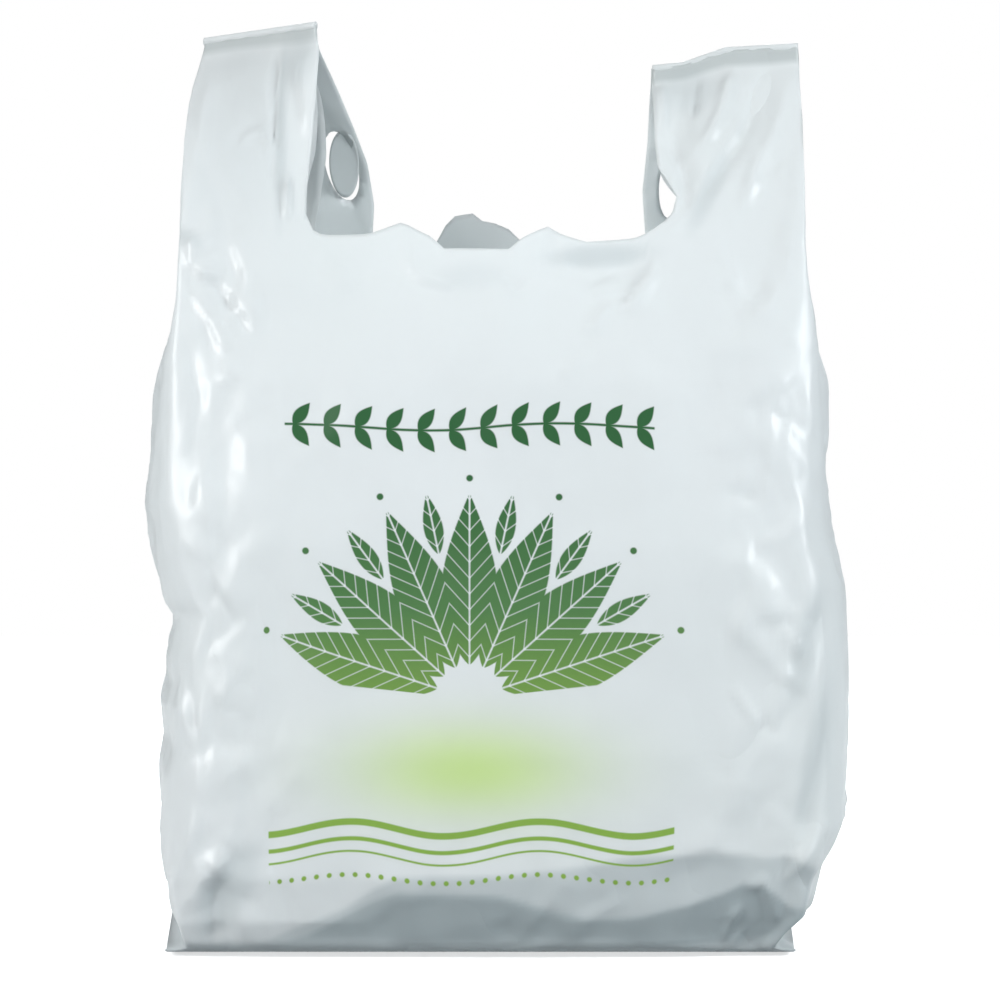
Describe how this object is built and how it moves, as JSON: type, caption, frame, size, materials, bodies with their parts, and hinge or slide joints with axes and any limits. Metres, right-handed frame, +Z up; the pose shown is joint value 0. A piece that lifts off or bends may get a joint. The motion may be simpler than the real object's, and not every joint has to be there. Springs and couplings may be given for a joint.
{
  "type": "plastic carrier bag",
  "caption": "Thin blown-film carrier bag standing open, with gusseted sides, a foot seal and a die-cut mouth that leaves a loop handle at each side.",
  "frame": {"origin": "on the ground under the middle of the standing bag", "axes": "+Z up, +X to the bag's right side seen from the front, +Y towards the back panel"},
  "size_m": [0.3482, 0.1845, 0.458],
  "materials": {
    "film": "thin translucent white film, softly glossy, creased"
  },
  "bodies": {
    "root": {"bag": "film"}
  },
  "joints": []
}
